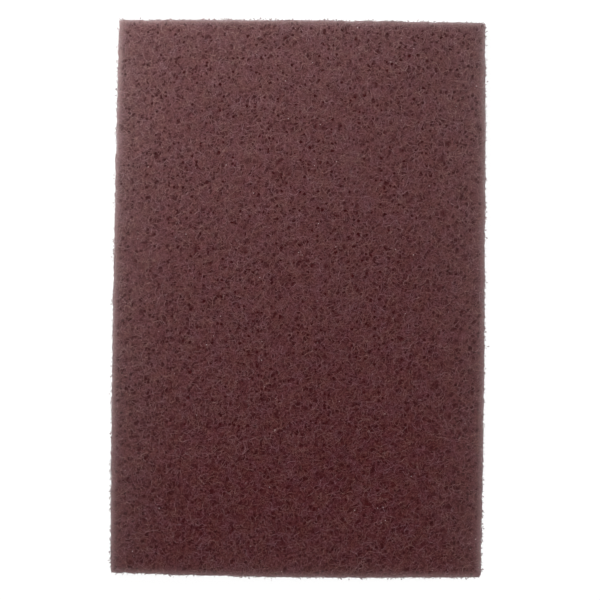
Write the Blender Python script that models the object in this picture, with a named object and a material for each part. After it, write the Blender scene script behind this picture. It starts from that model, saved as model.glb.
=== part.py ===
"""A non-woven abrasive hand pad: one lofty web of crimped fibres, cut to a rectangle.

Run it with blender --background --python part.py, or from Blender's text editor.
Units are metres and +Z is up. The origin is the middle of the underside, with the pad's length along Y.

The web is one solid. Its underside lies flat with pores sunk into it, its upper face is lofty and
pored and falls away a little towards the cut, its cut edges bow outwards and are ragged and pored,
and its rims are rounded where the cutter pinched them.
"""

import math
import random

import bmesh
import bpy
from mathutils import Vector, noise

MM = 0.001

# The sheet: across its middle, and through its middle
PAD_WIDTH = 152.4 * MM
PAD_LENGTH = 228.6 * MM
PAD_THICKNESS = 6.4 * MM

# The cut outline: how far the middle of each edge stands proud of its corners
SIDE_BOW = 0.7 * MM
END_BOW = 1.1 * MM
# The cut is a little out of square: each side leans in towards +Y, and each end runs out towards +X
SIDE_LEAN = 0.45 * MM
END_RUNOUT = 0.4 * MM
# Waviness that the cutter left along the edges, and the raggedness of the fibre ends in them
EDGE_WAVE = 0.22 * MM
EDGE_WAVE_PITCH = 11.0 * MM
EDGE_RAGGED = 0.3 * MM

# The rims, where the cutter pinched the web, and the corners, whose radius is the larger
RIM_RADIUS = 1.0 * MM
CORNER_RADIUS = 1.4 * MM
ROUND_SEGMENTS = 2

# The loft: gentle hills over the whole upper face, the unevenness from tuft to tuft, and the fall
# of the face towards the cut edges
LOFT_HEIGHT = 0.5 * MM
LOFT_PITCH = 30.0 * MM
TUFT_HEIGHT = 0.8 * MM
EDGE_FALL = 0.7 * MM
EDGE_FALL_REACH = 9.0 * MM

# The net: cells over all six faces, each of which may become a pore. Its crossings drift in slow
# swirls and scatter by a share of a cell, so that no two cells are alike
CELL_PITCH = 5.2 * MM
EDGE_ROWS = 3
CELL_SCATTER = 0.27
NET_DRIFT = 4.5 * MM
NET_DRIFT_PITCH = 24.0 * MM

# The pores: each mouth is a share of its cell, and opposite pores leave some web between them
PORE_SHARE = 0.26
PORE_MOUTH_LEAST = 0.35
PORE_MOUTH_MOST = 0.75
PORE_DEPTH_LEAST = 0.8 * MM
PORE_DEPTH_MOST = 2.0 * MM
PORE_WEB = 0.8 * MM
WEB_SEED = 3

WEB_COLOUR = (0.115, 0.050, 0.052, 1.0)
WEB_ROUGHNESS = 0.95
# Creases sharper than this stay crisp
CREASE_ANGLE = math.radians(14)

# Two faces share a plane when the cosine between them is above this
SAME_PLANE = 0.99
# A rounding takes up at most this share of the corner or wall that it meets
ROUND_LIMIT = 0.85


def clear_scene():
    """Removes whatever the file held, so that only the pad is left."""
    for obj in list(bpy.data.objects):
        bpy.data.objects.remove(obj)


def web_material():
    """Matt maroon fibres coated in resin and fine mineral."""
    material = bpy.data.materials.new("maroon_fibre_web")
    material.use_nodes = True
    shader = material.node_tree.nodes["Principled BSDF"]
    shader.inputs["Base Color"].default_value = WEB_COLOUR
    shader.inputs["Roughness"].default_value = WEB_ROUGHNESS
    shader.inputs["Metallic"].default_value = 0.0
    return material


def cell_counts():
    """How many cells of the net lie along X, Y and Z."""
    return round(PAD_WIDTH / CELL_PITCH), round(PAD_LENGTH / CELL_PITCH), EDGE_ROWS


def cell_sides():
    """A cell's size along X, Y and Z."""
    spans = (PAD_WIDTH, PAD_LENGTH, PAD_THICKNESS)
    return Vector(span / count for span, count in zip(spans, cell_counts()))


def edges_along(bm, axis):
    """The mesh's edges that run along one axis, 0 for X, 1 for Y and 2 for Z."""
    others = [i for i in range(3) if i != axis]
    found = []
    for edge in bm.edges:
        run = edge.verts[1].co - edge.verts[0].co
        if abs(run[axis]) > max(abs(run[i]) for i in others):
            found.append(edge)
    return found


def cut_blank(bm):
    """A box of the pad's size, netted into cells."""
    bmesh.ops.create_cube(bm, size=1.0)
    bmesh.ops.scale(bm, vec=(PAD_WIDTH, PAD_LENGTH, PAD_THICKNESS), verts=bm.verts)
    bmesh.ops.translate(bm, vec=(0.0, 0.0, PAD_THICKNESS / 2), verts=bm.verts)
    for axis, count in enumerate(cell_counts()):
        bmesh.ops.subdivide_edges(bm, edges=edges_along(bm, axis), cuts=count - 1, use_grid_fill=True)


def at_corner(point):
    """Whether a point of the plain blank lies on one of its four upright corners."""
    off_side = abs(abs(point.x) - PAD_WIDTH / 2)
    off_end = abs(abs(point.y) - PAD_LENGTH / 2)
    return max(off_side, off_end) < 0.01 * MM


def round_over(bm, edges, radius):
    bmesh.ops.bevel(
        bm, geom=edges, offset=radius, segments=ROUND_SEGMENTS, profile=0.5, affect="EDGES", material=-1,
    )
    bm.normal_update()


def round_rims(bm):
    """Rounds the four upright corners, then the upper and lower rims all the way round."""
    corners = [e for e in bm.edges if all(at_corner(v.co) for v in e.verts)]
    round_over(bm, corners, CORNER_RADIUS)
    rims = []
    for edge in bm.edges:
        broad = [abs(face.normal.z) > SAME_PLANE for face in edge.link_faces]
        if broad[0] != broad[1]:
            rims.append(edge)
    round_over(bm, rims, min(RIM_RADIUS, ROUND_LIMIT * CORNER_RADIUS, ROUND_LIMIT * cell_sides().z))


def is_plain(v):
    """A crossing of the net whose faces all lie in one plane, clear of the rims and corners."""
    first = v.link_faces[0].normal
    return all(face.normal.dot(first) > SAME_PLANE for face in v.link_faces)


def near_edge(x, y):
    """0 from EDGE_FALL_REACH inwards, rising smoothly to 1 at the cut edge."""
    inside = min(PAD_WIDTH / 2 - abs(x), PAD_LENGTH / 2 - abs(y))
    share = 1 - min(max(inside / EDGE_FALL_REACH, 0.0), 1.0)
    return share * share * (3 - 2 * share)


def loft_at(x, y):
    """Height of the upper face's gentle hills, less its fall towards the cut edges."""
    hills = noise.noise(Vector((x / LOFT_PITCH, y / LOFT_PITCH, 3.1)))
    return LOFT_HEIGHT * 0.5 * hills - EDGE_FALL * near_edge(x, y)


def net_drift(x, y):
    """The slow swirl of the net, which dies away at the edges."""
    at = Vector((x / NET_DRIFT_PITCH, y / NET_DRIFT_PITCH, 0.0))
    swirl = noise.noise_vector(at)
    return Vector((swirl.x, swirl.y, 0.0)) * NET_DRIFT * (1 - near_edge(x, y))


def loosen_net(bm, chance):
    """Moves each plain crossing within its face. Tufts sink the upper ones, and the cut frays the upright ones."""
    reach = cell_sides() * CELL_SCATTER
    for v in [v for v in bm.verts if is_plain(v)]:
        normal = v.link_faces[0].normal.copy()
        scatter = Vector(chance.uniform(-side, side) for side in reach)
        if abs(normal.z) > SAME_PLANE:
            scatter += net_drift(v.co.x, v.co.y)
        v.co += scatter - normal * scatter.dot(normal)
        if normal.z > SAME_PLANE:
            v.co.z -= chance.uniform(0.0, TUFT_HEIGHT)
        elif abs(normal.z) < SAME_PLANE:
            v.co += normal * chance.uniform(-EDGE_RAGGED, EDGE_RAGGED)


def raise_loft(bm):
    """Lifts the upper half into hills and drops it at the cut edges. The underside stays flat."""
    half = PAD_THICKNESS / 2
    for v in bm.verts:
        share = max(v.co.z - half, 0.0) / half
        v.co.z += share * loft_at(v.co.x, v.co.y)


def edge_wave(along, which):
    """The cutter's waviness at a distance along one of the four edges."""
    return EDGE_WAVE * noise.noise(Vector((along / EDGE_WAVE_PITCH, 7.3 * which, 0.5)))


def outline_place(x, y):
    """Where a point of the plain rectangle lies in the real cut outline."""
    u = x / (PAD_WIDTH / 2)
    v = y / (PAD_LENGTH / 2)
    side = math.copysign(1.0, x)
    end = math.copysign(1.0, y)
    inwards_x = SIDE_BOW * v * v + SIDE_LEAN * v + edge_wave(y, side)
    inwards_y = END_BOW * u * u - END_RUNOUT * u + edge_wave(x, 2.0 * end)
    return x - side * inwards_x * abs(u), y - end * inwards_y * abs(v)


def shape_outline(bm):
    """Bows and leans the cut edges."""
    for v in bm.verts:
        v.co.x, v.co.y = outline_place(v.co.x, v.co.y)


def sink_pore(bm, cell, mouth, depth):
    """Opens one cell: its mouth is a share of the cell, and its walls slope in to a point."""
    around = sum(edge.calc_length() for edge in cell.edges)
    to_middle = 2 * cell.calc_area() / around
    bmesh.ops.inset_individual(bm, faces=[cell], thickness=to_middle * (1 - mouth), depth=0.0)
    bmesh.ops.poke(bm, faces=[cell], offset=-depth, center_mode="MEAN")


def deepest_pore():
    """How deep a pore may reach, so that two opposite ones stay apart."""
    thinnest = PAD_THICKNESS - LOFT_HEIGHT / 2 - EDGE_FALL - TUFT_HEIGHT
    return (thinnest - PORE_WEB) / 2


def sink_pores(bm, cells, chance):
    """Sinks a pore into a share of the cells."""
    bm.normal_update()
    for cell in cells:
        if chance.random() < PORE_SHARE:
            mouth = chance.uniform(PORE_MOUTH_LEAST, PORE_MOUTH_MOST)
            depth = chance.uniform(PORE_DEPTH_LEAST, PORE_DEPTH_MOST)
            sink_pore(bm, cell, mouth, min(depth, deepest_pore()))


def centre_outline(bm):
    """Puts the middle of the finished outline over the origin."""
    xs = [v.co.x for v in bm.verts]
    ys = [v.co.y for v in bm.verts]
    middle = Vector((min(xs) + max(xs), min(ys) + max(ys), 0.0)) / 2
    bmesh.ops.translate(bm, vec=-middle, verts=bm.verts)


def hand_pad(collection):
    """The whole web, as one closed solid."""
    chance = random.Random(WEB_SEED)
    bm = bmesh.new()
    cut_blank(bm)
    round_rims(bm)
    cells = [f for f in bm.faces if len(f.verts) == 4 and all(is_plain(v) for v in f.verts)]
    loosen_net(bm, chance)
    raise_loft(bm)
    shape_outline(bm)
    sink_pores(bm, cells, chance)
    centre_outline(bm)
    bmesh.ops.triangulate(bm, faces=bm.faces)
    mesh = bpy.data.meshes.new("hand_pad")
    bm.to_mesh(mesh)
    bm.free()
    mesh.shade_smooth()
    mesh.set_sharp_from_angle(angle=CREASE_ANGLE)
    mesh.materials.append(web_material())
    pad = bpy.data.objects.new("hand_pad", mesh)
    collection.objects.link(pad)


def main():
    clear_scene()
    collection = bpy.data.collections.new("non_woven_hand_pad")
    bpy.context.scene.collection.children.link(collection)
    hand_pad(collection)


main()
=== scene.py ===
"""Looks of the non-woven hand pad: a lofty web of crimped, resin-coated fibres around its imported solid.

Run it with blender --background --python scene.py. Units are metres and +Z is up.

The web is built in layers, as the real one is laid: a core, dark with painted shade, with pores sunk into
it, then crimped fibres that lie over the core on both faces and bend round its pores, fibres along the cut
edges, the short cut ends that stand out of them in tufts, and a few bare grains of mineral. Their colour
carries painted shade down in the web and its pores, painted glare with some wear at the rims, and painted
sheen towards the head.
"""

import math

import bmesh
import bpy
import numpy as np
from bpy.props import FloatProperty, FloatVectorProperty, IntProperty, PointerProperty
from mathutils import Matrix, Vector, kdtree, noise


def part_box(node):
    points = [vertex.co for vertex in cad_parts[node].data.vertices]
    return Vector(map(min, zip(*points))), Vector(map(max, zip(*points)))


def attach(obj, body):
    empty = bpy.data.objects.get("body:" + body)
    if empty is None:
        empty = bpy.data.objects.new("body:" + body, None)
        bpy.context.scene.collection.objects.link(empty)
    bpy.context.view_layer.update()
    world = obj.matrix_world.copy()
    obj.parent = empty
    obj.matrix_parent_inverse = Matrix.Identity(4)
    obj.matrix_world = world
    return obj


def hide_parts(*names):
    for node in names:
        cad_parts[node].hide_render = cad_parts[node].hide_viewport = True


bl_info = {
    "name": "Non-woven Hand Pad",
    "version": (1, 0, 0),
    "blender": (4, 5, 0),
    "location": "3D View > Sidebar > Hand Pad",
    "description": "Lays a lofty web of crimped fibres over a hand pad's solid",
    "category": "Mesh",
}

MM = 0.001
CAD_NODE = "hand_pad"
BODY = "root"

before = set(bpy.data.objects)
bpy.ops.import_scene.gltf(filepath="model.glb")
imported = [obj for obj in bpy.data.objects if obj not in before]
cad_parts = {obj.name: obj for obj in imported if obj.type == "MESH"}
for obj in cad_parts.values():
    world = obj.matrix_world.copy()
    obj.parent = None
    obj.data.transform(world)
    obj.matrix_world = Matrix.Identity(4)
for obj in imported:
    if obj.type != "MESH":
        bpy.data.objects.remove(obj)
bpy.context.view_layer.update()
CAD_LOW, CAD_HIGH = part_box(CAD_NODE)

# How far inside the solid's box the plain sheet's sides, ends and upper face lie
SIDE_FRAY = 0.21 * MM
END_FRAY = 0.10 * MM
CAD_LOFT = 0.1 * MM

TRIANGLES_A_PIECE = 200_000
FIBRE_SIDES = 3
FEWEST_POINTS = 2
COINCIDENT = 1e-7

# The four cut walls: right, left, head and foot
RIGHT, LEFT, HEAD, FOOT = range(4)
# The corners' radii: both at the head, then the left and the right one at the foot
HEAD_CORNER = 0.5 * MM
LEFT_CORNER = 1.2 * MM
RIGHT_CORNER = 1.6 * MM
# Waviness of the cut: shares of the edge wave's height, and their pitches
CUT_WAVES = ((0.5, 9.0 * MM), (0.8, 2.6 * MM))
# The tufts of the cut: their pitch, and what sets their random heights apart from the waves'
TUFT_PITCH = 0.40 * MM
TUFT_KEY = 9
# How many random heights lie along a wall to each side of its middle
WALL_STEPS = 300
# The slice of Blender's noise that the hills follow, as the solid's hills do
HILLS_SLICE = 3.1

# The core: how much narrower and shorter it is than the web, how far it is lifted off the bench, as a
# share of its depth, its rows of cells through the web, and the crease that marks its rims
CORE_INSET = 0.4 * MM
CORE_LIFT = 0.4
CORE_ROWS = 4
RIM_CREASE = math.radians(45)
# How far its net is jostled, as a share of a cell, and its lumps, lower ones on its walls
CORE_JOSTLE = 0.3
LUMP_PITCH = 2.6 * MM
LUMP_HEIGHT = 0.22 * MM
WALL_LUMP_HEIGHT = 0.16 * MM
# How far its lowest lumps keep off the bench
CORE_CLEAR = 0.02 * MM
# How much painted shade the core takes between the fibres of the cut, where 1 is as much as in a pore
WALL_SHADE = 0.8
# Its pores: how much wider they are than the gaps between the fibres, from how many radii they slope
# in, and by what share they draw the net in
PORE_MARGIN = 0.25 * MM
PORE_SLOPE = 1.35
PORE_DRAW = 0.35
# A fibre's points within this many radii of a pore move out to its edge and this share of their
# distance past it
BEND_REACH = 1.8
BEND_CROWD = 0.45

# How quickly the rims' painted glare and wear fade inwards and down the cut, and what is left of them down
# there
RIM_FADE = 0.95 * MM
WALL_FADE = 0.75 * MM
WALL_GLARE_AND_WEAR = 0.06
# The painted glare from the white surroundings that reaches further in, from the ends and, more of it, from
# the sides
END_GLARE = 0.06
SIDE_GLARE = 0.17
GLARE_FADE = 11.0 * MM

# How fibres differ: bend at each step, swing and stride as shares, steps from crest to crest of their
# weave, and girth as a share, which tapers to the tips
BEND_SPREAD = math.radians(9)
SWINGS = (0.4, 1.3)
STRIDES = (0.75, 1.15)
WEAVE_STEPS = (2.6, 5.0)
GIRTHS = (0.7, 1.25)
TIP_GIRTH = 0.6
# From how far inside the cut to how far outside it a fibre may end
STRAYS = (-0.25 * MM, 0.2 * MM)
# The share of its thickness by which a fibre's middle keeps off the bench
BENCH_CLEAR = 0.66
# A fibre's tone on top of the web, the tone that painted shade takes away at the depth that follows, that
# depth, and its spread between and along fibres
TOP_TONE = 0.64
DEPTH_SHADE = 0.26
FULL_SHADE_DEPTH = 0.42 * MM
OWN_TONE = 0.05
ALONG_TONE = 0.14
# The layers of the upper face and the one of the underside, and the depths between which each lies
LAYERS = (
    ("deep_fibres", 0.38 * MM, 0.22 * MM),
    ("middle_fibres", 0.28 * MM, 0.10 * MM),
    ("top_fibres", 0.17 * MM, -0.05 * MM),
)
UNDERSIDE_LAYER = ("underside_fibres", 0.5 * MM, 0.1 * MM)

# The fibres along the cut: how much of their climb is left, the shares of its height between which they
# lie, how deep they are sunk, how much of their weave is left, and their girths
WALL_CLIMB = 0.6
WALL_HEIGHTS = (0.05, 0.95)
WALL_SINK = 0.45 * MM
WALL_WEAVE = 0.7
WALL_GIRTHS = (0.7, 1.2)
# How nearly the rounded rims draw a wall in to a full quarter turn
ROUND_SHARE = 0.96
# The cut ends: shares of their length, and powers that favour high and short ones
END_LENGTHS = (0.3, 1.0)
HIGH_FAVOUR = 0.8
SHORT_FAVOUR = 1.5
# How far they lean aside, climb and curl, and their points and girths from the web outwards
END_LEAN = math.radians(32)
END_CLIMB = math.radians(22)
END_CURL = math.radians(30)
END_POINTS = np.array([-0.6, 0.1, 0.4])
END_GIRTHS = np.array([1.0, 1.0, 0.6])
END_TONE = 0.55
END_TONE_SPREAD = 0.28

# The bare grains: their places and sizes as shares, how many are above, how far these stand proud, and
# how far the others' middles keep off the bench, in radii
GRAIN_PLACES = (-0.49, 0.49)
GRAIN_SIZES = (0.5, 1.0)
GRAINS_ABOVE = 0.65
GRAIN_PROUD = 0.1 * MM
GRAIN_CLEAR = 1.1

# Pitches of the materials' patterns, and how far the smallest pores, which are specks of painted shade, are
# shifted about
FINE_PITCH = 0.8 * MM
SPECK_PITCH = 1.85 * MM
SPECK_SHIFT = 1.0 * MM
PATCH_PITCH = 6.0 * MM
STRAND_PITCH = 1.4 * MM
FIBRE_GRIT = 0.18 * MM
CORE_GRIT = 0.3 * MM
GRAIN_CLOUDS = 0.15 * MM
# How far the fine unevenness shifts the tone, and how far the painted shade of the smallest pores and of
# the core's pores lowers it
FINE_SPREAD = 0.42
SPECK_SHADE = 1.1
CORE_SHADE_LOSS = 0.55
# How much of a tone is evened out at the rims, with their painted glare and wear, and to what
RIM_EVENED = 0.8
RIM_TONE = 0.55
# The share of painted glare and wear at the rims, the share of painted sheen at the head, and how far that
# sheen leans to the left
RIM_GLARE_AND_WEAR = 0.82
HEAD_SHEEN = 0.125
LEFT_SHEEN_SHARE = 0.4
# How far light spreads inside the fibres' resin
SCATTER_REACH = 0.25 * MM

# The lamp beyond the head and the one at the right of the foot
KEY_PLACE = (-0.17, 0.24, 0.24)
KEY_AIM = (0.0, 0.03, 0.0)
KEY_SIZE = (0.30, 0.16)
FILL_PLACE = (0.34, -0.22, 0.34)
FILL_AIM = (0.0, -0.03, 0.0)
FILL_SIZE = (0.16, 0.30)
# The floor: how far it reaches, its colour, how white it shows, and how much of its shadow shows
FLOOR_REACH = 3.0
FLOOR_COLOUR = (0.85, 0.85, 0.85)
FLOOR_WHITE = 1.06
SHADOW_SHARE = 0.14
WHITE = (1.0, 1.0, 1.0)


class WebSettings(bpy.types.PropertyGroup):
    """The sheet, its cut outline, its loft and its pores."""

    width: FloatProperty(
        name="Width", description="Width across the middle of the sheet", unit="LENGTH",
        default=CAD_HIGH.x - CAD_LOW.x - 2 * SIDE_FRAY,
    )
    length: FloatProperty(
        name="Length", description="Length through the middle of the sheet", unit="LENGTH",
        default=CAD_HIGH.y - CAD_LOW.y - 2 * END_FRAY,
    )
    thickness: FloatProperty(
        name="Thickness", description="Thickness of the lofty web", unit="LENGTH",
        default=CAD_HIGH.z - CAD_LOW.z - CAD_LOFT,
    )
    side_bow: FloatProperty(
        name="Side bow", description="How far the middle of each side stands proud of its corners",
        unit="LENGTH", default=0.7 * MM,
    )
    head_bow: FloatProperty(
        name="Head bow", description="How far the middle of the head stands proud of its corners",
        unit="LENGTH", default=0.5 * MM,
    )
    foot_bow: FloatProperty(
        name="Foot bow", description="How far the middle of the foot stands proud of its corners",
        unit="LENGTH", default=1.05 * MM,
    )
    side_lean: FloatProperty(
        name="Side lean", description="How far each side leans in towards the head", unit="LENGTH",
        default=0.45 * MM,
    )
    head_runout: FloatProperty(
        name="Head runout", description="How far the head runs out across the sheet", unit="LENGTH",
        default=0.28 * MM,
    )
    foot_runout: FloatProperty(
        name="Foot runout", description="How far the foot runs out across the sheet", unit="LENGTH",
        default=0.04 * MM,
    )
    edge_wave: FloatProperty(
        name="Edge wave", description="Height of the waviness that the cutter left", unit="LENGTH",
        default=0.11 * MM,
    )
    loft: FloatProperty(
        name="Loft", description="Height of the gentle hills over the faces", unit="LENGTH",
        default=0.25 * MM,
    )
    loft_pitch: FloatProperty(
        name="Loft pitch", description="Distance from one hill to the next", unit="LENGTH",
        default=30 * MM,
    )
    edge_fall: FloatProperty(
        name="Edge fall", description="How far the upper face drops at the cut", unit="LENGTH",
        default=0.7 * MM,
    )
    edge_fall_reach: FloatProperty(
        name="Edge fall reach", description="How far in from the cut the upper face starts to drop",
        unit="LENGTH", default=7 * MM,
    )
    core_pitch: FloatProperty(
        name="Core pitch", description="Spacing of the core's mesh", unit="LENGTH", default=1.15 * MM,
    )
    core_depth: FloatProperty(
        name="Core depth", description="How far the core lies under the fibres", unit="LENGTH",
        default=0.28 * MM,
    )
    core_rim: FloatProperty(
        name="Core rim", description="Radius of the core's rims", unit="LENGTH", default=0.9 * MM,
    )
    pore_pitch: FloatProperty(
        name="Pore pitch", description="Spacing of the pores", unit="LENGTH", default=2.9 * MM,
    )
    pore_least: FloatProperty(
        name="Least pore", description="Radius of the smallest pores", unit="LENGTH",
        default=0.3 * MM,
    )
    pore_most: FloatProperty(
        name="Largest pore", description="Radius of the largest pores", unit="LENGTH",
        default=0.65 * MM,
    )
    pore_depth: FloatProperty(
        name="Pore depth", description="Depth of the deepest pores in the core", unit="LENGTH",
        default=0.9 * MM,
    )
    seed: IntProperty(name="Seed", description="Seed of everything random in the web", default=11)


class FibreSettings(bpy.types.PropertyGroup):
    """The crimped fibres and their finish."""

    thickness: FloatProperty(
        name="Thickness", description="Thickness of a fibre with its resin and mineral", unit="LENGTH",
        default=0.22 * MM,
    )
    step: FloatProperty(
        name="Step", description="Length of one step along a fibre", unit="LENGTH", default=0.95 * MM,
    )
    steps: IntProperty(name="Steps", description="Points along one fibre", default=8)
    crimp: FloatProperty(
        name="Crimp", description="How far a fibre swings to each side", unit="ROTATION",
        default=math.radians(55),
    )
    crimp_least: FloatProperty(
        name="Shortest crimp", description="Length of the shortest wave", unit="LENGTH", default=4 * MM,
    )
    crimp_most: FloatProperty(
        name="Longest crimp", description="Length of the longest wave", unit="LENGTH", default=9 * MM,
    )
    rise: FloatProperty(
        name="Rise", description="How far a fibre weaves up and down", unit="LENGTH", default=0.1 * MM,
    )
    layer_count: IntProperty(name="Fibres a layer", description="Fibres in one layer", default=4200)
    underside_count: IntProperty(
        name="Fibres underneath", description="Fibres on the underside", default=2800,
    )
    edge_count: IntProperty(name="Edge fibres", description="Fibres along the cut", default=1900)
    fuzz_count: IntProperty(name="Cut ends", description="Short ends that stand out", default=8500)
    fuzz_length: FloatProperty(
        name="Cut end length", description="Length of the longest cut ends", unit="LENGTH",
        default=0.6 * MM,
    )
    tuft: FloatProperty(
        name="Tufts", description="How unevenly the tufts of cut ends stand out", unit="LENGTH",
        default=0.44 * MM,
    )
    grain_count: IntProperty(name="Bare grains", description="Bare grains of mineral", default=110)
    grain_size: FloatProperty(
        name="Grain size", description="Radius of the largest bare grains", unit="LENGTH",
        default=0.2 * MM,
    )
    # Painted shade: the colour that tones below 0 sink to, at the bottom of the pores
    pit: FloatVectorProperty(
        name="Pit", description="Colour at the bottom of the smallest pores", subtype="COLOR", size=3,
        min=0, max=1, default=(0.034, 0.0004, 0.0012),
    )
    # The tone ramp: dark where the painted shade down in the web is deepest, middling, and pale on top of
    # the web
    dark: FloatVectorProperty(
        name="Dark", description="Colour of the darkest fibres, down in the web", subtype="COLOR",
        size=3, min=0, max=1, default=(0.050, 0.0036, 0.0048),
    )
    middling: FloatVectorProperty(
        name="Middling", description="Colour of the fibres' middle tone", subtype="COLOR", size=3,
        min=0, max=1, default=(0.1155, 0.0293, 0.0325),
    )
    pale: FloatVectorProperty(
        name="Pale", description="Colour of the palest fibres, on top of the web", subtype="COLOR",
        size=3, min=0, max=1, default=(0.217, 0.107, 0.112),
    )
    plum: FloatVectorProperty(
        name="Plum", description="Cast of the cooler patches", subtype="COLOR", size=3, min=0, max=2,
        default=(1.0, 0.965, 1.10),
    )
    brown: FloatVectorProperty(
        name="Brown", description="Cast of the warmer patches", subtype="COLOR", size=3, min=0, max=2,
        default=(1.0, 1.01, 0.845),
    )
    # Painted light and wear: the pale colour of the painted glare and wear at the rims and of the painted
    # sheen towards the head
    painted_light_and_wear_pale: FloatVectorProperty(
        name="Pale rim", description="Colour that the worn, dusty rims fade to", subtype="COLOR", size=3,
        min=0, max=1, default=(0.41, 0.325, 0.32),
    )
    grain_pale: FloatVectorProperty(
        name="Pale grain", description="Colour of the bare grains of mineral", subtype="COLOR",
        size=3, min=0, max=1, default=(0.60, 0.48, 0.48),
    )


class StageSettings(bpy.types.PropertyGroup):
    """The camera, the lamps and the floor."""

    camera_height: FloatProperty(
        name="Camera height", description="Height of the camera over the upper face", unit="LENGTH",
        default=0.9,
    )
    view_width: FloatProperty(
        name="View width", description="Width of the view at the upper face", unit="LENGTH",
        default=246.1 * MM,
    )
    view_roll: FloatProperty(
        name="Roll", description="How far the camera is turned about its view", unit="ROTATION",
        default=math.radians(0.67),
    )
    view_right: FloatProperty(
        name="Aim right", description="How far right of the pad's middle the camera aims",
        unit="LENGTH", default=0.44 * MM,
    )
    view_down: FloatProperty(
        name="Aim down", description="How far below the pad's middle the camera aims", unit="LENGTH",
        default=0.50 * MM,
    )
    key_power: FloatProperty(
        name="Key power", description="Power of the lamp beyond the head", unit="POWER", default=1.50,
    )
    fill_power: FloatProperty(
        name="Fill power", description="Power of the lamp at the right of the foot", unit="POWER",
        default=0.67,
    )
    sky: FloatProperty(name="Sky", description="Strength of the even light all round", default=0.71)


def link_new(name, data):
    """A new object of that data, in the scene."""
    made = bpy.data.objects.new(name, data)
    bpy.context.scene.collection.objects.link(made)
    return made


def dress(piece, material):
    """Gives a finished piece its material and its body."""
    piece.data.materials.clear()
    piece.data.materials.append(material)
    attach(piece, BODY)


def set_point_values(mesh, name, values):
    """Stores one number for each of a mesh's points, for its material to read."""
    attribute = mesh.attributes.new(name, "FLOAT", "POINT")
    attribute.data.foreach_set("value", np.asarray(values, np.float32))


# The form of the sheet

def uneven(along, pitch, key):
    """Random heights at even steps along an edge, joined by straight lines, about 0 and 1 in spread."""
    steps = np.arange(-WALL_STEPS, WALL_STEPS + 1)
    heights = np.random.default_rng(key).normal(0.0, 1.0, steps.size)
    return np.interp(along / pitch, steps, heights)


def cut_wave(web, along, wall):
    """The cutter's waviness at a distance along one of the four walls."""
    waves = [
        share * uneven(along, pitch, (web.seed, wall, i)) for i, (share, pitch) in enumerate(CUT_WAVES)
    ]
    return web.edge_wave * sum(waves)


def round_corners(web, x, y):
    """Draws points of the plain rectangle in where they lie outside its rounded corners."""
    foot = np.where(x < 0, LEFT_CORNER, RIGHT_CORNER)
    radius = np.where(y > 0, HEAD_CORNER, foot)
    past_x = radius - (web.width / 2 - np.abs(x))
    past_y = radius - (web.length / 2 - np.abs(y))
    beyond = np.hypot(past_x, past_y)
    cornered = (past_x > 0) & (past_y > 0) & (beyond > radius)
    share = np.where(cornered, radius / np.maximum(beyond, COINCIDENT), 1.0)
    return x + np.sign(x) * past_x * (share - 1), y + np.sign(y) * past_y * (share - 1)


def outline_place(web, x, y):
    """Where points of the plain rectangle lie in the real cut outline."""
    x, y = round_corners(web, x, y)
    u = x / (web.width / 2)
    v = y / (web.length / 2)
    side = np.where(x < 0, -1.0, 1.0)
    end = np.where(y < 0, -1.0, 1.0)
    side_wave = np.where(x < 0, cut_wave(web, y, LEFT), cut_wave(web, y, RIGHT))
    end_wave = np.where(y < 0, cut_wave(web, x, FOOT), cut_wave(web, x, HEAD))
    inwards_x = web.side_bow * v * v + web.side_lean * v + side_wave
    end_bow = np.where(y < 0, web.foot_bow, web.head_bow)
    end_runout = np.where(y < 0, web.foot_runout, web.head_runout)
    inwards_y = end_bow * u * u - end_runout * u + end_wave
    return x - side * inwards_x * np.abs(u), y - end * inwards_y * np.abs(v)


def inside_by(web, x, y):
    """How far points of the plain rectangle lie in from its nearest edge."""
    return np.minimum(web.width / 2 - np.abs(x), web.length / 2 - np.abs(y))


def smooth_share(value):
    """A value kept between 0 and 1, with a soft start and end."""
    share = np.clip(value, 0.0, 1.0)
    return share * share * (3 - 2 * share)


def loft_at(web, x, y):
    """Height of the gentle hills of a face."""
    places = zip(x / web.loft_pitch, y / web.loft_pitch)
    return web.loft * np.array([noise.noise(Vector((a, b, HILLS_SLICE))) for a, b in places])


def upper_height(web, x, y):
    """Height of the upper face, which falls away towards the cut."""
    fall = web.edge_fall * smooth_share(1 - inside_by(web, x, y) / web.edge_fall_reach)
    return web.thickness + loft_at(web, x, y) - fall


def pores_over(web, chance):
    """The middles and radii of the pores of one face: one to a square of an uneven net."""
    across = int(web.width / web.pore_pitch)
    along = int(web.length / web.pore_pitch)
    column, row = np.meshgrid(np.arange(across), np.arange(along))
    column = column.ravel() + chance.uniform(0.0, 1.0, column.size)
    row = row.ravel() + chance.uniform(0.0, 1.0, row.size)
    x = (column / across - 0.5) * web.width
    y = (row / along - 0.5) * web.length
    radius = web.pore_least + (web.pore_most - web.pore_least) * chance.uniform(0, 1, x.size) ** 2
    clear = inside_by(web, x, y) > 2 * web.pore_most
    return x[clear], y[clear], radius[clear]


def begin_web(web):
    """The web's random draws, and the pores of its upper face and of its underside."""
    chance = np.random.default_rng(web.seed)
    return chance, pores_over(web, chance), pores_over(web, chance)


def near_pores(x, y, pores):
    """The nearest pore of each point, and the distance to its middle."""
    tree = kdtree.KDTree(len(pores[0]))
    for i, (a, b) in enumerate(zip(pores[0], pores[1])):
        tree.insert((a, b, 0.0), i)
    tree.balance()
    found = [tree.find((a, b, 0.0)) for a, b in zip(x, y)]
    return np.array([f[1] for f in found]), np.array([f[2] for f in found])


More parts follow.
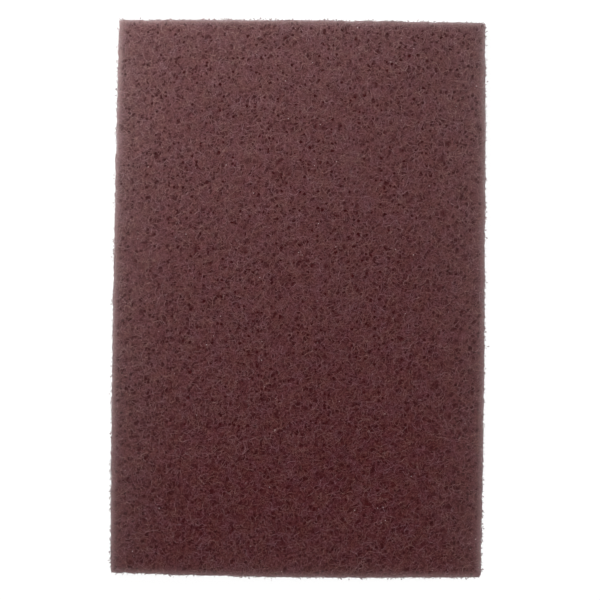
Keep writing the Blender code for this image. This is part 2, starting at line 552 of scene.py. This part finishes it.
def bend_round_pores(x, y, pores):
    """Pushes points that cross a pore out to its side, so that fibres bend round it."""
    nearest, distance = near_pores(x, y, pores)
    radius = pores[2][nearest]
    away_x = x - pores[0][nearest]
    away_y = y - pores[1][nearest]
    wanted = radius + BEND_CROWD * distance
    push = np.where(distance < radius * BEND_REACH, np.maximum(wanted - distance, 0.0), 0.0)
    reach = np.maximum(distance, COINCIDENT)
    return x + push * away_x / reach, y + push * away_y / reach


# The core of the web

def edges_along(bm, axis):
    """The mesh's edges that run along one axis, 0 for X, 1 for Y and 2 for Z."""
    others = [i for i in range(3) if i != axis]
    found = []
    for edge in bm.edges:
        run = edge.verts[1].co - edge.verts[0].co
        if abs(run[axis]) > max(abs(run[i]) for i in others):
            found.append(edge)
    return found


def core_blank(web):
    """A slab a little inside the pad, netted finely, with its corners and rims rounded."""
    lift = CORE_LIFT * web.core_depth
    sides = (web.width - CORE_INSET, web.length - CORE_INSET, web.thickness - web.core_depth - lift)
    counts = (round(sides[0] / web.core_pitch), round(sides[1] / web.core_pitch), CORE_ROWS)
    bm = bmesh.new()
    bmesh.ops.create_cube(bm, size=1.0)
    bmesh.ops.scale(bm, vec=sides, verts=bm.verts)
    bmesh.ops.translate(bm, vec=(0.0, 0.0, lift + sides[2] / 2), verts=bm.verts)
    for axis, count in enumerate(counts):
        bmesh.ops.subdivide_edges(bm, edges=edges_along(bm, axis), cuts=count - 1, use_grid_fill=True)
    bm.normal_update()
    rims = [e for e in bm.edges if e.calc_face_angle(0.0) > RIM_CREASE]
    bmesh.ops.bevel(
        bm, geom=rims, offset=web.core_rim, segments=2, profile=0.5, affect="EDGES", material=-1,
    )
    mesh = bpy.data.meshes.new("web_core")
    bm.to_mesh(mesh)
    bm.free()
    return mesh


def core_places(mesh):
    """The X, the Y and the Z of every point of a mesh."""
    places = np.empty(len(mesh.vertices) * 3)
    mesh.vertices.foreach_get("co", places)
    return places.reshape(-1, 3).T.copy()


def lumps_at(x, y, z, pitch):
    """Lumpiness of the core, from about -1 to 1."""
    return np.array([noise.noise(Vector(place)) for place in zip(x / pitch, y / pitch, z / pitch)])


def sink_core(web, mesh, upper_pores, lower_pores, chance):
    """Jostles the core's net, sinks the pores of both faces into it and sets it in the cut outline."""
    x, y, z = core_places(mesh)
    middle = web.thickness / 2
    inside = inside_by(web, x, y)
    # Painted shade between the fibres of the cut, and below, down the pores
    painted_shade = np.where(inside < web.core_rim / 2, WALL_SHADE, 0.0)
    broad = inside > 2 * web.core_rim
    jostle = CORE_JOSTLE * web.core_pitch * broad
    x = x + chance.uniform(-1, 1, x.size) * jostle
    y = y + chance.uniform(-1, 1, x.size) * jostle
    out = np.sign(z - middle)
    lumps = lumps_at(x, y, z, LUMP_PITCH)
    for pores, facing in ((upper_pores, 1), (lower_pores, -1)):
        nearest, distance = near_pores(x, y, pores)
        radius = pores[2][nearest] + PORE_MARGIN
        share = smooth_share(PORE_SLOPE - distance / radius) * (out == facing) * broad
        deep = radius / (web.pore_most + PORE_MARGIN)
        z = z - facing * share * deep * web.pore_depth
        painted_shade = np.maximum(painted_shade, share)
        x = x + share * PORE_DRAW * (pores[0][nearest] - x)
        y = y + share * PORE_DRAW * (pores[1][nearest] - y)
    z = np.maximum(z + out * broad * LUMP_HEIGHT * lumps, CORE_CLEAR)
    upper = np.clip((z - middle) / middle, 0.0, 1.0)
    z = z + upper * (upper_height(web, x, y) - web.thickness)
    rim = rim_glare_and_wear(web, x, y, z)
    ragged = np.where(inside < web.core_rim, WALL_LUMP_HEIGHT * lumps, 0.0)
    x = x + np.sign(x) * ragged
    y = y + np.sign(y) * ragged
    x, y = outline_place(web, x, y)
    mesh.vertices.foreach_set("co", np.stack([x, y, z], axis=1).ravel())
    set_point_values(mesh, "painted_shade", painted_shade)
    set_point_values(mesh, "rim", rim)
    mesh.update()


def glare_and_wear_at(drop):
    """How much of a rim's painted glare and wear is left at a distance down the cut."""
    return WALL_GLARE_AND_WEAR + (1 - WALL_GLARE_AND_WEAR) * np.exp(-drop / WALL_FADE)


def rim_glare_and_wear(web, x, y, z):
    """1 at the rims, with their painted glare and wear, fading inwards over the faces and, faster, down the
    cut, with the painted glare from the ends and sides added.
    """
    inside = np.maximum(inside_by(web, x, y), 0.0)
    from_end = np.maximum(web.length / 2 - np.abs(y), 0.0)
    from_side = np.maximum(web.width / 2 - np.abs(x), 0.0)
    end_glare = END_GLARE * np.exp(-from_end / GLARE_FADE)
    side_glare = SIDE_GLARE * np.exp(-from_side / GLARE_FADE)
    inwards = np.exp(-inside / RIM_FADE) + np.maximum(end_glare, side_glare)
    drop = np.minimum(np.maximum(upper_height(web, x, y) - z, 0.0), np.maximum(z, 0.0))
    return inwards * glare_and_wear_at(drop)


# Fibres

def crimped_paths(fibre, count, chance, width, length):
    """Crimped walks over a rectangle, as (count, steps) arrays of places along and across it."""
    step = np.arange(fibre.steps)
    heading = chance.uniform(0, 2 * math.pi, (count, 1))
    wave = chance.uniform(fibre.crimp_least, fibre.crimp_most, (count, 1))
    phase = chance.uniform(0, 2 * math.pi, (count, 1))
    bend = chance.normal(0, BEND_SPREAD, (count, 1))
    swing = fibre.crimp * chance.uniform(*SWINGS, (count, 1))
    heading = heading + swing * np.sin(2 * math.pi * step * fibre.step / wave + phase) + bend * step
    stride = fibre.step * chance.uniform(*STRIDES, (count, 1))
    x = np.cumsum(stride * np.cos(heading), axis=1)
    y = np.cumsum(stride * np.sin(heading), axis=1)
    x = x - x.mean(axis=1, keepdims=True) + chance.uniform(-width / 2, width / 2, (count, 1))
    y = y - y.mean(axis=1, keepdims=True) + chance.uniform(-length / 2, length / 2, (count, 1))
    return x, y


def weave(fibre, shape, chance):
    """How far each point of each fibre weaves up and down."""
    step = np.arange(shape[1])
    pitch = chance.uniform(*WEAVE_STEPS, (shape[0], 1))
    phase = chance.uniform(0, 2 * math.pi, (shape[0], 1))
    return fibre.rise * np.sin(2 * math.pi * step / pitch + phase)


def fibre_tone(shape, depth, chance):
    """Each point's tone: darker down in the web by painted shade, and uneven from fibre to fibre and along
    each.
    """
    own = chance.normal(0.0, OWN_TONE, (shape[0], 1))
    along = chance.normal(0.0, ALONG_TONE, shape)
    return TOP_TONE - DEPTH_SHADE * np.maximum(depth, 0.0) / FULL_SHADE_DEPTH + own + along


def longest_run(kept):
    """The start and end of the longest unbroken run of True in one row."""
    best = (0, 0)
    start = None
    for i, keep in enumerate(list(kept) + [False]):
        if keep and start is None:
            start = i
        if not keep and start is not None:
            if i - start > best[1] - best[0]:
                best = (start, i)
            start = None
    return best


def fibre_profile(fibre):
    """The guide curve of a fibre's section, three-sided."""
    curve = bpy.data.curves.new("fibre_section", "CURVE")
    curve.dimensions = "2D"
    ring = curve.splines.new("POLY")
    ring.points.add(FIBRE_SIDES - 1)
    for i, point in enumerate(ring.points):
        angle = -2 * math.pi * i / FIBRE_SIDES
        radius = fibre.thickness / 2
        point.co = (radius * math.cos(angle), radius * math.sin(angle), 0.0, 1.0)
    ring.use_cyclic_u = True
    return link_new("fibre_section", curve)


def fibres_piece(name, fibre, paths, girths, values):
    """One mesh of many fibres. paths, girths and each of values hold one array for each fibre."""
    section = fibre_profile(fibre)
    curve = bpy.data.curves.new(name, "CURVE")
    curve.dimensions = "3D"
    curve.bevel_mode = "OBJECT"
    curve.bevel_object = section
    curve.use_fill_caps = True
    for path, girth in zip(paths, girths):
        spline = curve.splines.new("POLY")
        spline.points.add(len(path) - 1)
        spline.points.foreach_set("co", np.column_stack([path, np.ones(len(path))]).ravel())
        spline.points.foreach_set("radius", girth)
    guide = link_new(name + "_guide", curve)
    depsgraph = bpy.context.evaluated_depsgraph_get()
    mesh = bpy.data.meshes.new_from_object(guide.evaluated_get(depsgraph))
    mesh.name = name
    bpy.data.objects.remove(guide)
    bpy.data.objects.remove(section)
    # The mesh lists the caps' points first, from the last fibre to the first, and then every ring in order
    counts = np.array([len(path) for path in paths])
    ends = np.cumsum(counts) - 1
    starts = ends - counts + 1
    caps = np.stack([ends[::-1], starts[::-1]], axis=1).ravel()
    rings = np.arange(counts.sum())
    owner = np.repeat(np.concatenate([caps, rings]), FIBRE_SIDES)
    if owner.size != len(mesh.vertices):
        raise RuntimeError(f"{name} has {len(mesh.vertices)} points where {owner.size} were expected")
    for key, per_fibre in values.items():
        set_point_values(mesh, key, np.concatenate(per_fibre)[owner])
    bm = bmesh.new()
    bm.from_mesh(mesh)
    bmesh.ops.remove_doubles(bm, verts=bm.verts, dist=COINCIDENT)
    bm.to_mesh(mesh)
    bm.free()
    mesh.shade_smooth()
    mesh.calc_loop_triangles()
    if len(mesh.loop_triangles) > TRIANGLES_A_PIECE:
        raise RuntimeError(f"{name} has {len(mesh.loop_triangles)} triangles, over {TRIANGLES_A_PIECE}")
    return link_new(name, mesh)


def fibres_within(name, fibre, kept, places, girth, tone, rim):
    """One piece of the fibres, each cut to its longest unbroken run of kept points."""
    runs = [(i, *longest_run(row)) for i, row in enumerate(kept)]
    runs = [(i, first, last) for i, first, last in runs if last - first >= FEWEST_POINTS]
    paths, girths, tones, rims = (
        [rows[i, first:last] for i, first, last in runs] for rows in (places, girth, tone, rim)
    )
    return fibres_piece(name, fibre, paths, girths, {"tone": tones, "rim": rims})


def face_fibres(layer, web, fibre, pores, count, chance, facing=1):
    """A layer of fibres over one broad face, between its two depths under the surface."""
    name, deep, shallow = layer
    x, y = crimped_paths(fibre, count, chance, web.width, web.length)
    shape = x.shape
    flat_x, flat_y = bend_round_pores(x.ravel(), y.ravel(), pores)
    stray = chance.uniform(*STRAYS, (count, 1))
    inside = inside_by(web, flat_x, flat_y).reshape(shape)
    depth = chance.uniform(shallow, deep, (count, 1)) - weave(fibre, shape, chance)
    if facing > 0:
        z = upper_height(web, flat_x, flat_y).reshape(shape) - depth
    else:
        z = np.maximum(depth, BENCH_CLEAR * fibre.thickness)
    rim = rim_glare_and_wear(web, flat_x, flat_y, z.ravel()).reshape(shape)
    placed_x, placed_y = outline_place(web, flat_x, flat_y)
    places = np.stack([placed_x.reshape(shape), placed_y.reshape(shape), z], axis=2)
    tone = fibre_tone(shape, depth, chance)
    girth = chance.uniform(*GIRTHS, (count, 1)) * np.ones(shape)
    girth[:, [0, -1]] *= TIP_GIRTH
    return fibres_within(name, fibre, inside > -stray, places, girth, tone, rim)


def wall_place(web, wall, along, out):
    """Points on the cut walls, a distance along each and a distance out of it."""
    half_x = web.width / 2
    half_y = web.length / 2
    x = np.where(wall == RIGHT, half_x, np.where(wall == LEFT, -half_x, along))
    y = np.where(wall == HEAD, half_y, np.where(wall == FOOT, -half_y, along))
    x, y = outline_place(web, x, y)
    out_x = np.where(wall == RIGHT, 1.0, np.where(wall == LEFT, -1.0, 0.0))
    out_y = np.where(wall == HEAD, 1.0, np.where(wall == FOOT, -1.0, 0.0))
    return x + out * out_x, y + out * out_y


def pick_walls(web, count, chance):
    """A wall for each fibre, the longer walls more often, and each wall's half length."""
    share = web.length / (web.length + web.width) / 2
    wall = chance.choice(4, (count, 1), p=(share, share, 0.5 - share, 0.5 - share))
    return wall, np.where(wall < HEAD, web.length / 2, web.width / 2)


def wall_height(web, wall, along):
    """Height of the upper rim over each point of the walls."""
    x, y = wall_place(web, wall, along, 0.0)
    fall = web.thickness - web.edge_fall
    return fall + loft_at(web, x.ravel(), y.ravel()).reshape(x.shape)


def tuck_round(web, z, top):
    """How far the rounded rims draw a wall in at a height."""
    edge = np.minimum(z, top - z)
    share = np.clip(1 - edge / web.core_rim, 0.0, 1.0)
    return web.core_rim * (1 - np.sqrt(1 - share * share * ROUND_SHARE))


def wall_rim(z, top):
    """1 at the upper and lower rim of a wall, with its painted glare and wear, fading between them."""
    return glare_and_wear_at(np.maximum(np.minimum(top - z, z), 0.0))


def tuft_at(web, wall, along):
    """How far each tuft of the cut stands out, about 0 and 1 in spread."""
    out = np.zeros(along.shape)
    for side in (RIGHT, LEFT, HEAD, FOOT):
        out = np.where(wall == side, uneven(along, TUFT_PITCH, (web.seed, side, TUFT_KEY)), out)
    return out


def edge_fibres(web, fibre, chance):
    """The fibres that lie along the cut walls."""
    count = fibre.edge_count
    wall, half = pick_walls(web, count, chance)
    along, z = crimped_paths(fibre, count, chance, 0.0, 0.0)
    along = along + chance.uniform(-1, 1, (count, 1)) * half
    z = WALL_CLIMB * z + chance.uniform(*WALL_HEIGHTS, (count, 1)) * web.thickness
    kept = np.abs(along) < half
    top = wall_height(web, wall, np.clip(along, -half, half))
    low = BENCH_CLEAR * fibre.thickness
    span = top - 2 * low
    # A fibre that would pass a rim turns back from it
    z = low + span - np.abs((z - low) % (2 * span) - span)
    sunk = chance.uniform(0.0, WALL_SINK, (count, 1)) - WALL_WEAVE * weave(fibre, z.shape, chance)
    out = -sunk - tuck_round(web, z, top)
    x, y = wall_place(web, wall, np.clip(along, -half, half), out)
    places = np.stack([x, y, z], axis=2)
    rim = wall_rim(z, top)
    tone = fibre_tone(z.shape, sunk, chance)
    girth = chance.uniform(*WALL_GIRTHS, (count, 1)) * np.ones(z.shape)
    return fibres_within("edge_fibres", fibre, kept, places, girth, tone, rim)


def cut_ends(web, fibre, chance):
    """The short cut ends that stand out of the walls and rims in small tufts."""
    count = fibre.fuzz_count
    wall, half = pick_walls(web, count, chance)
    along = chance.uniform(-1, 1, (count, 1)) * half
    top = wall_height(web, wall, along)
    z = fibre.thickness + (top - 1.5 * fibre.thickness) * chance.uniform(0, 1, (count, 1)) ** HIGH_FAVOUR
    length = fibre.fuzz_length * chance.uniform(*END_LENGTHS, (count, 1)) ** SHORT_FAVOUR
    lean = chance.normal(0, END_LEAN, (count, 1))
    climb = chance.normal(0, END_CLIMB, (count, 1))
    curl = chance.normal(0, END_CURL, (count, 1))
    angle = lean + curl * END_POINTS
    tuft = fibre.tuft * tuft_at(web, wall, along)
    out = tuft + length * END_POINTS * np.cos(angle) - tuck_round(web, z, top)
    aside = length * END_POINTS * np.sin(angle)
    height = np.clip(z + length * END_POINTS * np.sin(climb), BENCH_CLEAR * fibre.thickness, None)
    x, y = wall_place(web, wall, np.clip(along + aside, -half, half), out)
    places = np.stack([x, y, height], axis=2)
    rim = wall_rim(z, top) * np.ones(out.shape)
    tone = chance.normal(END_TONE, END_TONE_SPREAD, (count, 1)) * np.ones(out.shape)
    girth = chance.uniform(*WALL_GIRTHS, (count, 1)) * END_GIRTHS
    return fibres_piece("cut_ends", fibre, places, girth, {"tone": tone, "rim": rim})


def bare_grains(web, fibre, chance):
    """A few bare grains of mineral, half sunk in both faces."""
    bm = bmesh.new()
    x = chance.uniform(*GRAIN_PLACES, fibre.grain_count) * web.width
    y = chance.uniform(*GRAIN_PLACES, fibre.grain_count) * web.length
    size = fibre.grain_size * chance.uniform(*GRAIN_SIZES, fibre.grain_count)
    above = chance.uniform(0, 1, fibre.grain_count) < GRAINS_ABOVE
    z = np.where(above, upper_height(web, x, y) + GRAIN_PROUD, GRAIN_CLEAR * size)
    x, y = outline_place(web, x, y)
    for place, radius in zip(np.stack([x, y, z], axis=1), size):
        bmesh.ops.create_icosphere(bm, subdivisions=1, radius=radius, matrix=Matrix.Translation(place))
    mesh = bpy.data.meshes.new("bare_grains")
    bm.to_mesh(mesh)
    bm.free()
    return link_new("bare_grains", mesh)


# Materials

class NodeMaker:
    """Adds nodes to a material's tree, left to right, and links them."""

    def __init__(self, tree):
        self.tree = tree
        self.column = 0

    def add(self, kind, inputs=None, **settings):
        made = self.tree.nodes.new("ShaderNode" + kind)
        self.column += 1
        made.location = (190 * (self.column % 9) - 1900, -260 * (self.column // 9))
        for key, value in settings.items():
            setattr(made, key, value)
        for key, value in (inputs or {}).items():
            self.feed(made.inputs[key], value)
        return made

    def feed(self, socket, value):
        if isinstance(value, bpy.types.NodeSocket):
            self.tree.links.new(value, socket)
        else:
            socket.default_value = value

    def value_of(self, name):
        return self.add("Attribute", attribute_name=name).outputs["Fac"]

    def math(self, operation, first, second=0.0):
        return self.add("Math", {0: first, 1: second}, operation=operation).outputs[0]

    def blend(self, share, first, second, way="MIX"):
        """Mixes two colours, whose sockets go by number because a Mix node's names repeat."""
        made = self.add("Mix", data_type="RGBA", blend_type=way)
        self.feed(made.inputs["Factor"], share)
        self.feed(made.inputs[6], first)
        self.feed(made.inputs[7], second)
        return made.outputs[2]

    def noise(self, where, pitch, detail=2.0, distortion=0.0, rough=0.5, output="Fac"):
        made = self.add(
            "TexNoise",
            {
                "Vector": where, "Scale": 1 / pitch, "Detail": detail, "Distortion": distortion,
                "Roughness": rough,
            },
        )
        return made.outputs[output]

    def shift(self, where, pitch, reach):
        """Moves places about by up to half of reach, unevenly over pitch."""
        by = self.noise(where, pitch, 1.0, output="Color")
        by = self.add("VectorMath", {0: by, 1: (0.5, 0.5, 0.5)}, operation="SUBTRACT").outputs[0]
        by = self.add("VectorMath", {0: by, "Scale": reach}, operation="SCALE").outputs[0]
        return self.add("VectorMath", {0: where, 1: by}, operation="ADD").outputs[0]

    def spread(self, value, low, high, to_low=0.0, to_high=1.0):
        return self.add(
            "MapRange",
            {"Value": value, "From Min": low, "From Max": high, "To Min": to_low, "To Max": to_high},
        ).outputs["Result"]


def opaque(colour):
    """A colour as a shader's socket takes it."""
    return (*colour, 1.0)


def new_material(name):
    """A material with its shader and output, and the maker that fills its tree."""
    material = bpy.data.materials.new(name)
    material.use_nodes = True
    return material, NodeMaker(material.node_tree), material.node_tree.nodes["Principled BSDF"]


def uneven_tone(maker, where, tone, rim):
    """A point's tone with the web's fine unevenness and the painted shade of its smallest pores, evened out
    at the rims with their painted glare and wear.
    """
    fine = maker.noise(where, FINE_PITCH, 2.0, rough=0.85)
    fine = maker.spread(fine, 0.2, 0.8, -FINE_SPREAD, FINE_SPREAD)
    ragged = maker.shift(where, FINE_PITCH, SPECK_SHIFT)
    # The smallest pores: specks of painted shade that lower the tone
    cells = maker.add("TexVoronoi", {"Vector": ragged, "Scale": 1 / SPECK_PITCH}).outputs
    by_cell = maker.add("SeparateColor", {0: cells["Color"]}).outputs[0]
    mouth = maker.spread(by_cell, 0.0, 1.0, -0.12, 0.34)
    past_mouth = maker.math("SUBTRACT", cells["Distance"], mouth)
    pore = maker.spread(past_mouth, -0.05, 0.06, -SPECK_SHADE, 0.0)
    tone = maker.math("ADD", tone, maker.math("ADD", fine, pore))
    evened = maker.spread(rim, 0.15, 0.7, 0.0, RIM_EVENED)
    return maker.add("Mix", {0: evened, 2: tone, 3: RIM_TONE}).outputs[0]


def web_colour(maker, where, tone, rim, fibre):
    """Maroon from dark to pale by its tone and on to the pits' painted shade, in plum and brown patches,
    paler with painted glare and wear at the rims and with painted sheen towards the head.
    """
    colour = maker.blend(maker.spread(tone, 0.0, 0.5), opaque(fibre.dark), opaque(fibre.middling))
    colour = maker.blend(maker.spread(tone, 0.5, 1.0), colour, opaque(fibre.pale))
    # Painted shade: tones below 0, down the pores, sink to the pit colour
    colour = maker.blend(maker.spread(tone, 0.0, -1.0), colour, opaque(fibre.pit))
    patch = maker.spread(maker.noise(where, PATCH_PITCH, 3.0), 0.36, 0.64)
    cast = maker.blend(patch, opaque(fibre.plum), opaque(fibre.brown))
    colour = maker.blend(1.0, colour, cast, "MULTIPLY")
    place = maker.add("SeparateXYZ", {0: where}).outputs
    # Painted sheen: paler and greyer towards the head and the left, where the key lamp stands, and more so
    # on paler tones
    headwards = maker.math("SUBTRACT", place["Y"], maker.math("MULTIPLY", place["X"], LEFT_SHEEN_SHARE))
    painted_light_and_wear = maker.spread(headwards, -0.08, 0.13, 0.0, HEAD_SHEEN)
    painted_light_and_wear = maker.math("MULTIPLY", painted_light_and_wear, maker.spread(tone, -0.5, 0.6, 0.0, 1.1))
    # Painted glare and wear at the rims, added to the painted sheen
    painted_light_and_wear = maker.math("ADD", painted_light_and_wear, maker.math("MULTIPLY", rim, RIM_GLARE_AND_WEAR))
    return maker.blend(painted_light_and_wear, colour, opaque(fibre.painted_light_and_wear_pale))


def scatter_inside(shader):
    """Lets light spread a little way through the resin, and off its grit, as a matt coat does."""
    shader.inputs["Diffuse Roughness"].default_value = 1.0
    shader.inputs["Subsurface Weight"].default_value = 1.0
    shader.inputs["Subsurface Radius"].default_value = (1.0, 1.0, 1.0)
    shader.inputs["Subsurface Scale"].default_value = SCATTER_REACH


def fibre_material(fibre):
    """Resin-coated fibres: patchy maroon, each in its own tone, with painted shade down in the web, paler
    with painted glare and wear at the rims and with painted sheen towards the head.
    """
    material, maker, shader = new_material("maroon_fibres")
    where = maker.add("TexCoord").outputs["Object"]
    rim = maker.value_of("rim")
    tone = uneven_tone(maker, where, maker.value_of("tone"), rim)
    maker.feed(shader.inputs["Base Color"], web_colour(maker, where, tone, rim, fibre))
    grain = maker.noise(where, FIBRE_GRIT, 2.0)
    maker.feed(shader.inputs["Roughness"], maker.spread(grain, 0.3, 0.7, 0.6, 0.9))
    bump = maker.add("Bump", {"Strength": 0.35, "Distance": 0.03 * MM, "Height": grain})
    maker.feed(shader.inputs["Normal"], bump.outputs["Normal"])
    shader.inputs["Specular IOR Level"].default_value = 0.08
    scatter_inside(shader)
    return material


def core_material(fibre):
    """The inside of the web: fibres darkened by painted shade, nearly black with painted shade down the
    pores and between the fibres of the cut.
    """
    material, maker, shader = new_material("maroon_core")
    where = maker.add("TexCoord").outputs["Object"]
    rim = maker.value_of("rim")
    strand = maker.noise(where, STRAND_PITCH, 2.0, 1.2)
    strand = maker.math("ABSOLUTE", maker.math("SUBTRACT", strand, 0.5))
    strand = maker.spread(strand, 0.0, 0.07, 1.0, 0.0)
    # Painted shade: the core's tone stays low, for the shaded fibres deep in the web
    tone = maker.spread(strand, 0.0, 1.0, 0.12, 0.5)
    tone = maker.math("SUBTRACT", tone, maker.math("MULTIPLY", maker.value_of("painted_shade"), CORE_SHADE_LOSS))
    tone = uneven_tone(maker, where, tone, rim)
    maker.feed(shader.inputs["Base Color"], web_colour(maker, where, tone, rim, fibre))
    grain = maker.noise(where, CORE_GRIT, 2.0)
    maker.feed(shader.inputs["Roughness"], maker.spread(grain, 0.3, 0.7, 0.75, 0.95))
    height = maker.math("ADD", strand, maker.math("MULTIPLY", grain, 0.4))
    bump = maker.add("Bump", {"Strength": 0.8, "Distance": 0.15 * MM, "Height": height})
    maker.feed(shader.inputs["Normal"], bump.outputs["Normal"])
    shader.inputs["Specular IOR Level"].default_value = 0.1
    scatter_inside(shader)
    return material


def grain_material(fibre):
    """Bare mineral, pale and a little glassy."""
    material, maker, shader = new_material("bare_mineral")
    where = maker.add("TexCoord").outputs["Object"]
    cloud = maker.spread(maker.noise(where, GRAIN_CLOUDS, 1.0), 0.3, 0.7, 0.7, 1.0)
    maker.feed(shader.inputs["Base Color"], maker.blend(1.0, opaque(fibre.grain_pale), cloud, "MULTIPLY"))
    maker.feed(shader.inputs["Roughness"], maker.spread(cloud, 0.7, 1.0, 0.3, 0.5))
    return material


def shared_material(name, make, fibre):
    """The material of that name, made the first time that a piece asks for it."""
    return bpy.data.materials.get(name) or make(fibre)


# Operators

class HANDPAD_OT_web_core(bpy.types.Operator):
    """Makes the web's core, which stands for the solid."""

    bl_idname = "handpad.web_core"
    bl_label = "Web Core"

    def execute(self, context):
        web = context.scene.handpad_web
        chance, upper, lower = begin_web(web)
        mesh = core_blank(web)
        sink_core(web, mesh, upper, lower, chance)
        mesh.shade_smooth()
        core = link_new("web_core", mesh)
        dress(core, shared_material("maroon_core", core_material, context.scene.handpad_fibre))
        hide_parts(CAD_NODE)
        return {"FINISHED"}


class HANDPAD_OT_face_fibres(bpy.types.Operator):
    """Lays the fibres over the upper face, in three layers, and over the underside."""

    bl_idname = "handpad.face_fibres"
    bl_label = "Face Fibres"

    def execute(self, context):
        web = context.scene.handpad_web
        fibre = context.scene.handpad_fibre
        chance, upper, lower = begin_web(web)
        material = shared_material("maroon_fibres", fibre_material, fibre)
        for layer in LAYERS:
            dress(face_fibres(layer, web, fibre, upper, fibre.layer_count, chance), material)
        count = fibre.underside_count
        dress(face_fibres(UNDERSIDE_LAYER, web, fibre, lower, count, chance, facing=-1), material)
        return {"FINISHED"}


class HANDPAD_OT_edge_fibres(bpy.types.Operator):
    """Lays the fibres along the cut walls and stands the short cut ends out of them."""

    bl_idname = "handpad.edge_fibres"
    bl_label = "Edge Fibres"

    def execute(self, context):
        web = context.scene.handpad_web
        fibre = context.scene.handpad_fibre
        chance = np.random.default_rng(web.seed + 1)
        material = shared_material("maroon_fibres", fibre_material, fibre)
        dress(edge_fibres(web, fibre, chance), material)
        dress(cut_ends(web, fibre, chance), material)
        return {"FINISHED"}


class HANDPAD_OT_bare_grains(bpy.types.Operator):
    """Sets the bare grains of mineral in the faces."""

    bl_idname = "handpad.bare_grains"
    bl_label = "Bare Grains"

    def execute(self, context):
        web = context.scene.handpad_web
        fibre = context.scene.handpad_fibre
        chance = np.random.default_rng(web.seed + 2)
        dress(bare_grains(web, fibre, chance), shared_material("bare_mineral", grain_material, fibre))
        return {"FINISHED"}


def lamp(name, place, aim, size, power):
    """An area lamp that looks at a point."""
    data = bpy.data.lights.new(name, "AREA")
    data.shape = "RECTANGLE"
    data.size, data.size_y = size
    data.energy = power
    made = link_new(name, data)
    made.location = place
    made.rotation_euler = (Vector(aim) - Vector(place)).to_track_quat("-Z", "Y").to_euler()
    return made


def seen_directly(maker):
    """1 for what the camera, gloss or glass sees, and 0 for the light that falls on the pad."""
    path = maker.add("LightPath")
    seen = maker.math("MAXIMUM", path.outputs["Is Camera Ray"], path.outputs["Is Glossy Ray"])
    return maker.math("MAXIMUM", seen, path.outputs["Is Transmission Ray"])


def floor_material():
    """A plain pale floor that shows white and keeps a soft shadow."""
    material, maker, shader = new_material("pale_floor")
    shader.inputs["Base Color"].default_value = opaque(FLOOR_COLOUR)
    shader.inputs["Roughness"].default_value = 0.9
    share = maker.math("MULTIPLY", seen_directly(maker), 1 - SHADOW_SHARE)
    white = maker.add("Emission", {"Color": opaque(WHITE), "Strength": FLOOR_WHITE})
    shown = maker.add("MixShader", {0: share, 1: shader.outputs[0], 2: white.outputs[0]})
    output = material.node_tree.nodes["Material Output"]
    maker.feed(output.inputs["Surface"], shown.outputs[0])
    return material


def white_world(strength):
    """Even white light all round, which shows as white."""
    world = bpy.data.worlds.new("white_studio")
    world.use_nodes = True
    maker = NodeMaker(world.node_tree)
    level = maker.spread(seen_directly(maker), 0.0, 1.0, strength, 1.0)
    background = world.node_tree.nodes["Background"]
    background.inputs["Color"].default_value = opaque(WHITE)
    maker.feed(background.inputs["Strength"], level)
    bpy.context.scene.world = world


class HANDPAD_OT_stage(bpy.types.Operator):
    """Sets the floor, the lamps and the camera, which looks straight down."""

    bl_idname = "handpad.stage"
    bl_label = "Stage"

    def execute(self, context):
        stage = context.scene.handpad_stage
        top = context.scene.handpad_web.thickness
        bm = bmesh.new()
        bmesh.ops.create_grid(bm, x_segments=1, y_segments=1, size=FLOOR_REACH)
        mesh = bpy.data.meshes.new("floor")
        bm.to_mesh(mesh)
        bm.free()
        mesh.materials.append(floor_material())
        link_new("floor", mesh)
        white_world(stage.sky)
        lamp("key_lamp", KEY_PLACE, KEY_AIM, KEY_SIZE, stage.key_power)
        lamp("fill_lamp", FILL_PLACE, FILL_AIM, FILL_SIZE, stage.fill_power)
        data = bpy.data.cameras.new("overhead_camera")
        data.lens = data.sensor_width * stage.camera_height / stage.view_width
        data.dof.use_dof = False
        camera = link_new("overhead_camera", data)
        camera.location = (stage.view_right, -stage.view_down, top + stage.camera_height)
        camera.rotation_euler = (0.0, 0.0, stage.view_roll)
        context.scene.camera = camera
        context.scene.view_settings.view_transform = "Standard"
        return {"FINISHED"}


class HANDPAD_PT_panel(bpy.types.Panel):
    """The hand pad's steps, in the 3D view's sidebar."""

    bl_label = "Hand Pad"
    bl_space_type = "VIEW_3D"
    bl_region_type = "UI"
    bl_category = "Hand Pad"

    def draw(self, context):
        for step in STEPS:
            self.layout.operator(step.bl_idname)


STEPS = (
    HANDPAD_OT_web_core,
    HANDPAD_OT_face_fibres,
    HANDPAD_OT_edge_fibres,
    HANDPAD_OT_bare_grains,
    HANDPAD_OT_stage,
)
SETTINGS = {"handpad_web": WebSettings, "handpad_fibre": FibreSettings, "handpad_stage": StageSettings}


def register():
    for kind in (*SETTINGS.values(), *STEPS, HANDPAD_PT_panel):
        bpy.utils.register_class(kind)
    for name, kind in SETTINGS.items():
        setattr(bpy.types.Scene, name, PointerProperty(type=kind))


def unregister():
    for name in SETTINGS:
        delattr(bpy.types.Scene, name)
    for kind in (HANDPAD_PT_panel, *reversed(STEPS), *SETTINGS.values()):
        bpy.utils.unregister_class(kind)


def main():
    register()
    bpy.ops.handpad.web_core()
    bpy.ops.handpad.face_fibres()
    bpy.ops.handpad.edge_fibres()
    bpy.ops.handpad.bare_grains()
    bpy.ops.handpad.stage()


if __name__ == "__main__":
    main()
